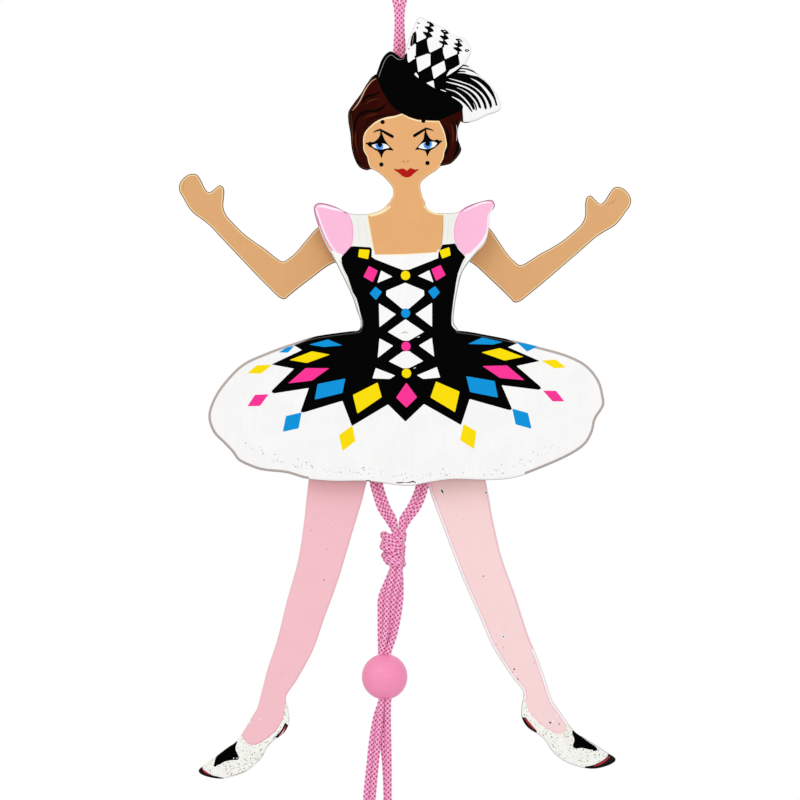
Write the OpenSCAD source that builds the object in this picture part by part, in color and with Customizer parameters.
// Jumping jack in the shape of a dancer, cut from flat wood and worked by strings.
// A front plate carries four pegs on its back. The arms and legs turn on them behind
// the plate, and four strings join their inner ends to one knot and a bead below.
// The origin is the inside top of the hanging loop. X runs to the right as seen from
// the front, Y runs to the back and Z runs up. All sizes are millimetres.

/* [Front plate] */
// Thickness of the front plate
plate_t = 4; // [3:0.5:6]
// Wood left in front of the blind peg holes
skin_t = 1.4; // [0.8:0.1:2]
// Drop from the inside top of the loop to the hanging peg
hang_drop = 36.5; // [34:0.5:40]
// Width of the head with its hair
head_w = 29.6; // [26:0.2:33]
// Height of the head from the hat down to the foot of the neck
head_h = 36.7; // [34:0.1:40]
// Width of the hat's brim
brim_w = 22; // [20:0.5:26]
// Height of the slanting brim
brim_h = 18; // [16:0.5:21]
// Width of the hat's crown
crown_w = 17.8; // [15:0.2:20]
// Height of the hat's crown
crown_h = 17; // [14:0.2:19]
// Width of the feather
plume_w = 13.6; // [11:0.2:16]
// Height of the feather
plume_h = 15.2; // [13:0.2:18]
// Width of the bodice over its sleeve caps
bodice_w = 47.7; // [44:0.1:52]
// Height of the bodice from the neck into the skirt
bodice_h = 42; // [39:0.5:46]
// Width of the skirt
skirt_w = 103.6; // [90:0.2:115]
// Height of the skirt
skirt_h = 40; // [36:0.5:46]

/* [Arms and legs] */
// Thickness of the arms and legs
limb_t = 3; // [2:0.5:5]
// Reach of an arm from its peg to the fingertips
arm_reach = 44.8; // [40:0.2:49]
// Length of a leg from its peg down to the sole
leg_len = 89.9; // [80:0.1:98]
// Distance from a shoulder peg to its string hole
shoulder_lever = 7; // [6.6:0.1:8]
// Distance from a hip peg to its string hole
hip_lever = 9; // [8:0.1:9.6]
// Width of the lever that carries a string hole
lever_w = 4.8; // [4.4:0.1:5.2]
// Diameter of a string hole
string_hole_d = 2.2; // [1.9:0.1:2.8]
// How far the right arm hangs lower than a mirrored left arm, in degrees
right_arm_turn = 5.8; // [0:0.1:8]
// How far the right leg stands further out than a mirrored left leg, in degrees
right_leg_turn = 4.1; // [0:0.1:6]

/* [Pegs] */
// Distance between the two shoulder pegs
shoulder_gap = 27.6; // [26:0.1:29]
// Height of the right shoulder peg above the left one
right_shoulder_rise = 0.8; // [0:0.1:1]
// Distance between the two hip pegs
hip_gap = 24.8; // [24.6:0.1:28]
// Diameter of a peg's shank
peg_d = 5; // [4:0.1:5.4]
// Diameter of a peg's head
peg_head_d = 8; // [7:0.1:9]
// Thickness of a peg's head
peg_head_t = 1.6; // [1:0.1:2.5]
// Diameter of a spacer washer
washer_d = 8; // [7:0.1:8.4]
// Thickness of a spacer washer, which leaves room for the strings
washer_t = 2.2; // [2:0.1:3]

/* [Strings] */
// Diameter of the cord
cord_d = 1.6; // [1.2:0.1:1.6]
// Diameter of the pull bead
bead_d = 12; // [10:0.5:14]
// Diameter of the hole through the bead
bead_bore_d = 4.2; // [4.1:0.1:5.5]
// Width of the knot that gathers the four strings
gather_knot_w = 7.2; // [6:0.1:8]
// Height of the knot that gathers the four strings
gather_knot_h = 10.2; // [9:0.1:11]
// Diameter of a stopper knot behind a lever
stopper_knot_d = 3.8; // [3.2:0.1:4.4]
// Width of a knot at the strings' lower ends
tail_knot_w = 4.6; // [4:0.1:5]
// Height of a knot at the strings' lower ends
tail_knot_h = 5.6; // [5:0.1:7]
// Width of the knot that closes the hanging loop below its peg
hanging_knot_w = 3.8; // [3.4:0.1:4.4]

/* [Hidden] */
$fn = 48;

LEFT = -1;
RIGHT = 1;

// Clearances, all of them radial or on one face
bore_fit = 0.08;
glue_fit = 0.05;
end_play = 0.15;
peg_end_gap = 0.1;
overrun = 1;

// Travel of the pull string from the pose shown, upwards and downwards
pull_up = 1.9;
pull_down = 8;

// The figure's middle lies a little to the right of the hanging cord
figure_x = 1.4;
skirt_shift = 0.3;
shoulder_shift = 0.8;
hip_shift = -1.1;

// How far the head reaches into the bodice, and the bodice into the skirt
neck_lap = 4.2;
waist_lap = 4.3;

// Layers from front to back. The strings run in the plane y = 0.
plate_back_y = -washer_t / 2;
plate_front_y = plate_back_y - plate_t;
washer_back_y = washer_t / 2;
limb_front_y = washer_back_y + end_play;
limb_back_y = limb_front_y + limb_t;
limb_head_y = limb_back_y + end_play;
peg_front_y = plate_front_y + skin_t + peg_end_gap;

// Places of the plate's shapes, from the hanging peg downwards
peg_z = -hang_drop;
head_z = peg_z - head_h / 3;
brim_x = figure_x + head_w * 0.12;
brim_z = head_z + head_h * 0.36;
crown_x = brim_x + brim_w * 0.225;
crown_z = brim_z + brim_h * 0.53;
plume_x = brim_x + brim_w * 0.68;
plume_z = brim_z - brim_h * 0.11;
bodice_z = head_z - head_h / 2 - bodice_h / 2 + neck_lap;
skirt_x = figure_x + skirt_shift;
skirt_z = bodice_z - bodice_h / 2 - skirt_h / 2 + waist_lap;

// Places of the pegs
shoulder_z = bodice_z + bodice_h * 0.165;
hip_z = skirt_z - skirt_h * 0.17;
function shoulder(side) = [
  shoulder_shift + side * shoulder_gap / 2,
  shoulder_z + (side == RIGHT ? right_shoulder_rise : 0)
];
function hip(side) = [hip_shift + side * hip_gap / 2, hip_z];

// A lever is level in the middle of the pull string's travel, so it slants upwards at rest
lift = (pull_down - pull_up) / 2;
shoulder_tilt = lift / shoulder_lever * 180 / PI;
hip_tilt = lift / hip_lever * 180 / PI;
function lever_hole(side, peg, reach, tilt) =
  peg + [-side * reach * cos(tilt), reach * sin(tilt)];
function arm_hole(side) = lever_hole(side, shoulder(side), shoulder_lever, shoulder_tilt);
function leg_hole(side) = lever_hole(side, hip(side), hip_lever, hip_tilt);

// How far a limb's outline is turned from its drawing, before it is mirrored
function arm_turn(side) = side == RIGHT ? right_arm_turn : 0;
function leg_turn(side) = side == RIGHT ? -right_leg_turn : 0;

// Outlines as shares of half the width and half the height of each shape
skirt_shares = [
  [-0.41, 0.99], [-0.57, 0.88], [-0.71, 0.75], [-0.83, 0.6], [-0.925, 0.35],
  [-0.98, 0.12], [-1, -0.09], [-0.975, -0.29], [-0.92, -0.44], [-0.88, -0.55],
  [-0.85, -0.655], [-0.8, -0.725], [-0.725, -0.79], [-0.605, -0.825], [-0.5, -0.9],
  [-0.355, -0.93], [-0.195, -0.93], [0, -0.99], [0.12, -0.945], [0.24, -0.905],
  [0.415, -0.915], [0.545, -0.885], [0.66, -0.785], [0.815, -0.61], [0.905, -0.455],
  [0.945, -0.28], [0.96, -0.12], [1, 0.05], [1, 0.18], [0.975, 0.4],
  [0.91, 0.6], [0.81, 0.73], [0.675, 0.83], [0.545, 0.915], [0.4, 0.99],
  [0.28, 1.04], [0, 1.1]
];
bodice_shares = [
  [-0.165, 0.85], [-0.265, 0.75], [-0.42, 0.7], [-0.605, 0.71], [-0.78, 0.8],
  [-0.935, 0.84], [-1, 0.775], [-0.955, 0.56], [-0.88, 0.35], [-0.78, 0.14],
  [-0.69, -0.06], [-0.58, -0.325], [-0.53, -0.5], [-0.485, -0.65], [-0.515, -0.775],
  [-0.605, -0.94], [0, -1], [0.605, -0.94], [0.59, -0.76], [0.54, -0.66],
  [0.54, -0.53], [0.575, -0.275], [0.635, -0.02], [0.75, 0.165], [0.88, 0.34],
  [0.925, 0.55], [0.935, 0.7], [0.99, 0.8], [0.955, 0.875], [0.845, 0.86],
  [0.69, 0.8], [0.58, 0.725], [0.45, 0.71], [0.31, 0.725], [0.22, 0.81],
  [0.165, 0.91], [0, 1]
];
head_shares = [
  [0.33, -1], [0.31, -0.87], [0.275, -0.745], [0.29, -0.655], [0.4, -0.57],
  [0.56, -0.485], [0.63, -0.43], [0.715, -0.415], [0.825, -0.385], [0.945, -0.285],
  [1, -0.2], [0.98, -0.13], [0.945, -0.045], [0.945, 0.115], [1, 0.245],
  [1, 0.415], [0.91, 0.6], [0.63, 0.86], [0, 1], [-0.505, 0.885],
  [-0.665, 0.755], [-0.77, 0.615], [-0.93, 0.44], [-1, 0.34], [-1, 0.2],
  [-0.965, 0.03], [-0.945, -0.155], [-0.895, -0.315], [-0.805, -0.44], [-0.68, -0.485],
  [-0.59, -0.47], [-0.47, -0.515], [-0.33, -0.615], [-0.22, -0.73], [-0.205, -0.84],
  [-0.24, -1]
];
brim_shares = [
  [-0.975, 0.1], [-0.81, -0.245], [-0.595, -0.595], [-0.36, -0.825], [-0.05, -0.97],
  [0.24, -1], [0.55, -0.94], [0.785, -0.855], [1, -0.68], [0.975, -0.45],
  [0.785, -0.07], [0.38, 0.39], [-0.165, 0.68], [-0.43, 0.825], [-0.55, 0.94],
  [-0.665, 1], [-0.785, 0.91], [-0.88, 0.74], [-0.95, 0.51], [-1, 0.305]
];
crown_shares = [
  [-1, -0.55], [-0.53, -1], [0.5, -1.1], [0.825, -0.45], [1, -0.03],
  [0.795, 0.325], [0.5, 0.42], [0.205, 0.645], [-0.265, 0.87], [-0.5, 1],
  [-0.62, 0.87], [-0.735, 0.58], [-0.88, 0.195], [-0.97, -0.225]
];
plume_shares = [
  [-1.12, 0.2], [-0.92, -0.585], [-0.5, -1], [0.04, -0.93], [0.425, -0.76],
  [0.925, -0.585], [0.96, -0.31], [0.77, 0.035], [0.46, 0.38], [0.04, 0.69],
  [-0.54, 1]
];

// Outlines of a left arm and a left leg from their pegs, as shares of reach and length
arm_shares = [
  [-1, 0.31], [-0.977, 0.269], [-0.947, 0.216], [-0.918, 0.181], [-0.871, 0.146],
  [-0.819, 0.105], [-0.754, 0.035], [-0.649, -0.076], [-0.538, -0.193], [-0.439, -0.292],
  [-0.409, -0.316], [-0.38, -0.322], [-0.351, -0.298], [-0.24, -0.211], [-0.094, -0.111],
  [0.058, -0.099], [0.111, -0.023], [0.088, 0.064], [0, 0.117], [-0.099, 0.135],
  [-0.187, 0.099], [-0.257, 0.023], [-0.31, -0.041], [-0.357, -0.082], [-0.404, -0.099],
  [-0.497, -0.029], [-0.573, 0.023], [-0.632, 0.07], [-0.69, 0.129], [-0.725, 0.17],
  [-0.743, 0.222], [-0.737, 0.298], [-0.743, 0.333], [-0.766, 0.345], [-0.795, 0.322],
  [-0.825, 0.304], [-0.848, 0.322], [-0.877, 0.38], [-0.901, 0.409], [-0.942, 0.409],
  [-0.977, 0.386], [-1, 0.351]
];
leg_shares = [
  [-0.096, -0.035], [-0.111, -0.099], [-0.122, -0.187], [-0.128, -0.245], [-0.146, -0.362],
  [-0.178, -0.478], [-0.207, -0.595], [-0.233, -0.673], [-0.251, -0.741], [-0.265, -0.793],
  [-0.28, -0.819], [-0.321, -0.886], [-0.356, -0.913], [-0.408, -0.953], [-0.437, -0.977],
  [-0.414, -0.994], [-0.362, -1], [-0.3, -0.98], [-0.257, -0.945], [-0.23, -0.901],
  [-0.187, -0.866], [-0.172, -0.834], [-0.175, -0.799], [-0.181, -0.761], [-0.149, -0.711],
  [-0.102, -0.624], [-0.071, -0.536], [-0.029, -0.42], [0.006, -0.303], [0.041, -0.187],
  [0.052, -0.143], [0.073, -0.07], [0.079, 0.012], [0.052, 0.061], [0, 0.082],
  [-0.052, 0.064], [-0.079, 0.018]
];

// Steps between two points of an outline
curve_steps = 4;

// Places of the knots and the bead on the strings
gather_knot_at = [-1.6, 0, -157.1];
bead_at = [-3.9, 0, -190.5];
left_tail_at = [-8.3, 0, -228.8];
right_tail_at = [-3.1, 0, -229.2];
hanging_knot_at = [0, 0.9, -43.6];

// Routes of the strings, from the levers down to the knots at their ends
left_arm_route = [
  [-6.6, 0, -74], [-6.8, 0, -105], [-7, 0, -128], [-6.9, 0, -140], [-5.9, 0, -143.5],
  [-4.9, 0, -146.4], [-3.2, 0.55, -149], [-1.1, 0.85, -152.5], [-1.7, 0.85, -162],
  [-3.1, 0.75, -165.5], [-4.7, 0.3, -169.5], [-4.9, 0.3, -175], [-4.9, 0.6, -180],
  [-4.75, 0.85, -184.3], [-4.75, 0.85, -197], [-5.9, 0.7, -200.5], [-7.1, 0.45, -207],
  [-7.8, 0.25, -213.5], [-8.5, 0.2, -220], [-9.1, 0.1, -227.5]
];
left_leg_route = [
  [-5, 0, -124.4], [-5.1, 0, -132], [-5.2, 0, -140], [-4.2, 0, -143.5],
  [-3.1, 0, -146.4], [-1.7, -0.55, -149], [-1.1, -0.85, -152.5], [-1.7, -0.85, -162],
  [-2.1, -0.7, -165.5], [-3.1, -0.3, -169.5], [-3.4, -0.4, -175], [-3.8, -0.6, -180],
  [-4.75, -0.85, -184.3], [-4.75, -0.85, -197], [-5, -0.7, -200.5], [-5.7, -0.45, -207],
  [-6.3, -0.25, -213.5], [-6.9, -0.2, -220], [-7.4, -0.1, -227.5]
];
right_leg_route = [
  [2.8, 0, -124.4], [4, 0, -132], [5.2, 0, -140], [4.1, 0, -143.5],
  [2.5, 0, -146.6], [0.9, -0.55, -149], [0.6, -0.85, -152.5], [0, -0.85, -162],
  [-0.4, -0.8, -165.5], [-1.4, -0.3, -169.5], [-1.9, 0.4, -175], [-2.7, 0.6, -180],
  [-3.05, 0.85, -184.3], [-3.05, 0.85, -197], [-4, 0.7, -200.5], [-4.3, 0.45, -207],
  [-3.7, 0.7, -213.5], [-3.4, 0.8, -220], [-3.3, 0.8, -227.5]
];
right_arm_route = [
  [8.2, 0, -73.2], [6.9, 0, -105], [6.2, 0, -126], [6.9, 0, -140], [5.9, 0, -143.5],
  [4.4, 0, -146.6], [2.5, 0.55, -149], [0.6, 0.85, -152.5], [0, 0.85, -162],
  [0.2, 0.8, -165.5], [0.2, 0.4, -169.5], [-0.5, -0.4, -175], [-1.6, -0.6, -180],
  [-3.05, -0.85, -184.3], [-3.05, -0.85, -197], [-3.1, -0.7, -200.5], [-3, -0.5, -207],
  [-2.9, -0.75, -213.5], [-2.9, -0.8, -220], [-2.9, -0.8, -227.5]
];

// Route of the left half of the hanging loop, from its knot up to the top of its eye
hanging_half_route = [
  [-0.9, 0.6, -43.2], [-2.6, 0, -40], [-3.5, 0, -37], [-2.9, 0, -33.8], [-1.3, 0, -30.4],
  [-0.85, 0, -27], [-0.85, 0, -14], [-2.1, 0, -9.6], [-3.8, 0, -5.8], [-3.9, 0, -2.2],
  [-2.2, 0, 0.3]
];
hanging_top_at = [0, 0, 0.8];
function mirrored(p) = [-p[0], p[1], p[2]];
hanging_route = concat(
  hanging_half_route,
  [hanging_top_at],
  [for (i = [len(hanging_half_route) - 1 : -1 : 0]) mirrored(hanging_half_route[i])]
);

// A closed smooth curve through a list of points
function curve_point(a, b, c, d, t) =
  (2 * b + (c - a) * t + (2 * a - 5 * b + 4 * c - d) * t * t
    + (3 * b - a - 3 * c + d) * t * t * t) / 2;
function smooth(p) = [
  for (i = [0 : len(p) - 1], k = [0 : curve_steps - 1])
    curve_point(
      p[(i + len(p) - 1) % len(p)],
      p[i],
      p[(i + 1) % len(p)],
      p[(i + 2) % len(p)],
      k / curve_steps
    )
];
function outline(shares, half_w, half_h) = smooth([for (s = shares) [s[0] * half_w, s[1] * half_h]]);

// A flat shape drawn in X and Z, with its front face at y and its thickness behind it
module slab(y, t) {
  translate([0, y + t, 0]) rotate([90, 0, 0]) linear_extrude(t) children();
}

// A round bar or bore along Y at a place in X and Z
module bar(at, y0, y1, d) {
  translate([at[0], y0, at[1]]) rotate([-90, 0, 0]) cylinder(h = y1 - y0, d = d);
}

// A round lump that is higher than wide, turned about Z
module lump(at, w, h) {
  steps = 12;
  translate(at) rotate_extrude() polygon([
    for (i = [0 : steps])
      let (a = -90 + i * 180 / steps)
        [w / 2 * cos(a), h / 2 * sin(a)]
  ]);
}

// A cord swept along its route, with one ring at each point
cord_sides = 8;
function unit(v) = v / norm(v);
function heading(route, i) =
  unit(route[min(i + 1, len(route) - 1)] - route[max(i - 1, 0)]);
function ring(route, i) =
  let (
    t = heading(route, i),
    u = unit(cross([0, 1, 0], t)),
    v = cross(t, u)
  )
    [
      for (k = [0 : cord_sides - 1])
        let (a = (k + 0.5) * 360 / cord_sides)
          route[i] + cord_d / 2 * (cos(a) * u + sin(a) * v)
    ];
module cord(route) {
  rings = len(route);
  last = (rings - 1) * cord_sides;
  polyhedron(
    points = [for (i = [0 : rings - 1]) each ring(route, i)],
    faces = [
      [for (k = [0 : cord_sides - 1]) k],
      for (i = [0 : rings - 2], k = [0 : cord_sides - 1])
        let (
          a = i * cord_sides + k,
          b = i * cord_sides + (k + 1) % cord_sides
        )
          each [[a, a + cord_sides, b], [b, a + cord_sides, b + cord_sides]],
      [for (k = [cord_sides - 1 : -1 : 0]) last + k]
    ]
  );
}

// The front plate's outline, from overlapping shapes
module plate_shape(at, shares, w, h) {
  translate(at) polygon(outline(shares, w / 2, h / 2));
}
module plate_outline() {
  plate_shape([skirt_x, skirt_z], skirt_shares, skirt_w, skirt_h);
  plate_shape([figure_x, bodice_z], bodice_shares, bodice_w, bodice_h);
  plate_shape([figure_x, head_z], head_shares, head_w, head_h);
  plate_shape([brim_x, brim_z], brim_shares, brim_w, brim_h);
  plate_shape([crown_x, crown_z], crown_shares, crown_w, crown_h);
  plate_shape([plume_x, plume_z], plume_shares, plume_w, plume_h);
}

// The printed front plate, with a blind hole on its back for each of its five pegs
module body_plate() {
  peg_places = [
    [0, peg_z],
    for (side = [LEFT, RIGHT]) each [shoulder(side), hip(side)]
  ];
  color("white") difference() {
    slab(plate_front_y, plate_t) plate_outline();
    for (at = peg_places)
      bar(at, plate_front_y + skin_t, plate_back_y + overrun, peg_d + 2 * glue_fit);
  }
}

// The round-ended lever that carries a string hole, drawn for a left limb
module lever(reach, tilt) {
  rotate(tilt) translate([0, -lever_w / 2]) square([reach, lever_w]);
  rotate(tilt) translate([reach, 0]) circle(d = lever_w);
}

// An arm or leg on its peg, bored for the peg and for its string. The right ones are mirrored.
module limb(side, peg, hole, turn, shares, size, reach, tilt) {
  flip = [side == RIGHT ? 1 : 0, 0];
  difference() {
    translate([peg[0], 0, peg[1]]) slab(limb_front_y, limb_t) mirror(flip) {
      rotate(turn) polygon(outline(shares, size, size));
      lever(reach, tilt);
    }
    bar(peg, limb_front_y - overrun, limb_back_y + overrun, peg_d + 2 * bore_fit);
    bar(hole, limb_front_y - overrun, limb_back_y + overrun, string_hole_d);
  }
}
module arm(side) {
  color("burlywood") limb(
    side, shoulder(side), arm_hole(side), arm_turn(side),
    arm_shares, arm_reach, shoulder_lever, shoulder_tilt
  );
}
module leg(side) {
  color("pink") limb(
    side, hip(side), leg_hole(side), leg_turn(side),
    leg_shares, leg_len, hip_lever, hip_tilt
  );
}

// A flanged peg, glued into the plate and headed behind what it holds
module peg(at, head_y) {
  color("tan") {
    bar(at, peg_front_y, head_y + peg_head_t, peg_d);
    bar(at, head_y, head_y + peg_head_t, peg_head_d);
  }
}

// A spacer washer on a peg, which keeps a limb clear of the strings
module washer(at) {
  color("wheat") difference() {
    bar(at, plate_back_y, washer_back_y, washer_d);
    bar(at, plate_back_y - overrun, washer_back_y + overrun, peg_d + 2 * bore_fit);
  }
}

// A string's end, which comes back through its lever's hole into a stopper knot
stub_out = 0.25;
knot_seat = 0.25;
module stopper_knot(hole) {
  centre_y = limb_back_y + stopper_knot_d / 2 - knot_seat;
  color("hotpink") {
    bar(hole, limb_front_y - stub_out, centre_y, cord_d);
    translate([hole[0], centre_y, hole[1]]) sphere(d = stopper_knot_d);
  }
}

// The bead that is pulled, with all four strings through it
module pull_bead() {
  color("lightpink") translate(bead_at) difference() {
    sphere(d = bead_d);
    translate([0, 0, -bead_d / 2 - overrun]) cylinder(h = bead_d + 2 * overrun, d = bead_bore_d);
  }
}

body_plate();
arm(LEFT);  // left_arm
arm(RIGHT);  // right_arm
leg(LEFT);  // left_leg
leg(RIGHT);  // right_leg
peg(shoulder(LEFT), limb_head_y);  // left_shoulder_peg
peg(shoulder(RIGHT), limb_head_y);  // right_shoulder_peg
peg(hip(LEFT), limb_head_y);  // left_hip_peg
peg(hip(RIGHT), limb_head_y);  // right_hip_peg
peg([0, peg_z], washer_back_y);  // hanging_peg
washer(shoulder(LEFT));  // left_shoulder_washer
washer(shoulder(RIGHT));  // right_shoulder_washer
washer(hip(LEFT));  // left_hip_washer
washer(hip(RIGHT));  // right_hip_washer
color("hotpink") cord(hanging_route);  // hanging_cord
color("hotpink") lump(hanging_knot_at, hanging_knot_w, hanging_knot_w);  // hanging_knot
color("hotpink") cord(left_arm_route);  // left_arm_string
color("hotpink") cord(right_arm_route);  // right_arm_string
color("hotpink") cord(left_leg_route);  // left_leg_string
color("hotpink") cord(right_leg_route);  // right_leg_string
stopper_knot(arm_hole(LEFT));  // left_arm_knot
stopper_knot(arm_hole(RIGHT));  // right_arm_knot
stopper_knot(leg_hole(LEFT));  // left_leg_knot
stopper_knot(leg_hole(RIGHT));  // right_leg_knot
color("hotpink") lump(gather_knot_at, gather_knot_w, gather_knot_h);  // gather_knot
pull_bead();
color("hotpink") lump(left_tail_at, tail_knot_w, tail_knot_h);  // left_tail_knot
color("hotpink") lump(right_tail_at, tail_knot_w, tail_knot_h);  // right_tail_knot
